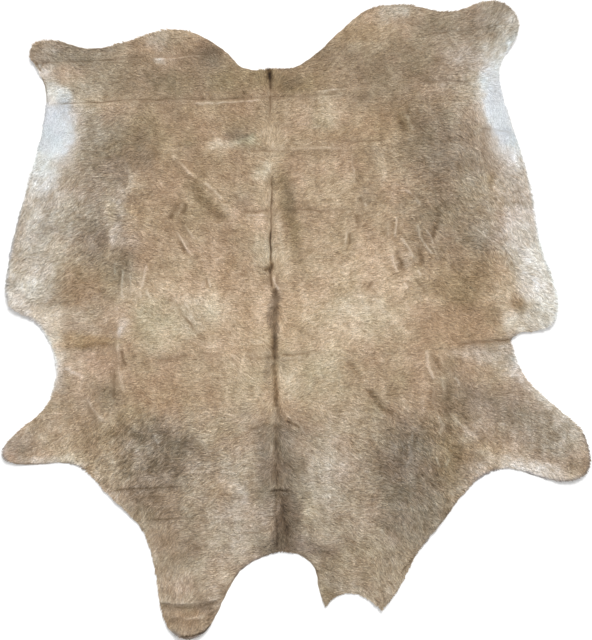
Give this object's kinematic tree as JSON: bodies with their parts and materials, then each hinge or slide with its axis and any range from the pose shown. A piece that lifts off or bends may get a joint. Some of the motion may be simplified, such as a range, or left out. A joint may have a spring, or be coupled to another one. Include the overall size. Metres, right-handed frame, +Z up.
{
  "type": "leather hide",
  "caption": "Hair-on cattle hide spread flat as a floor rug: tan coat with a dark line along the spine, pale flanks, lobes where the legs were and a notched neck.",
  "frame": {"origin": "on the floor, under the middle of the hide's length and width", "axes": "+Y along the spine towards the rump, +X towards the side that is on the right with the hair side up and the rump away, +Z up out of the hair side"},
  "size_m": [1.9586, 2.128, 0.0197],
  "materials": {
    "coat": "short smooth hair lying down on tanned leather, tan with pale flanks and a dark line along the spine, with a pale napped flesh side underneath"
  },
  "bodies": {
    "root": {"hide": "coat"}
  },
  "joints": []
}
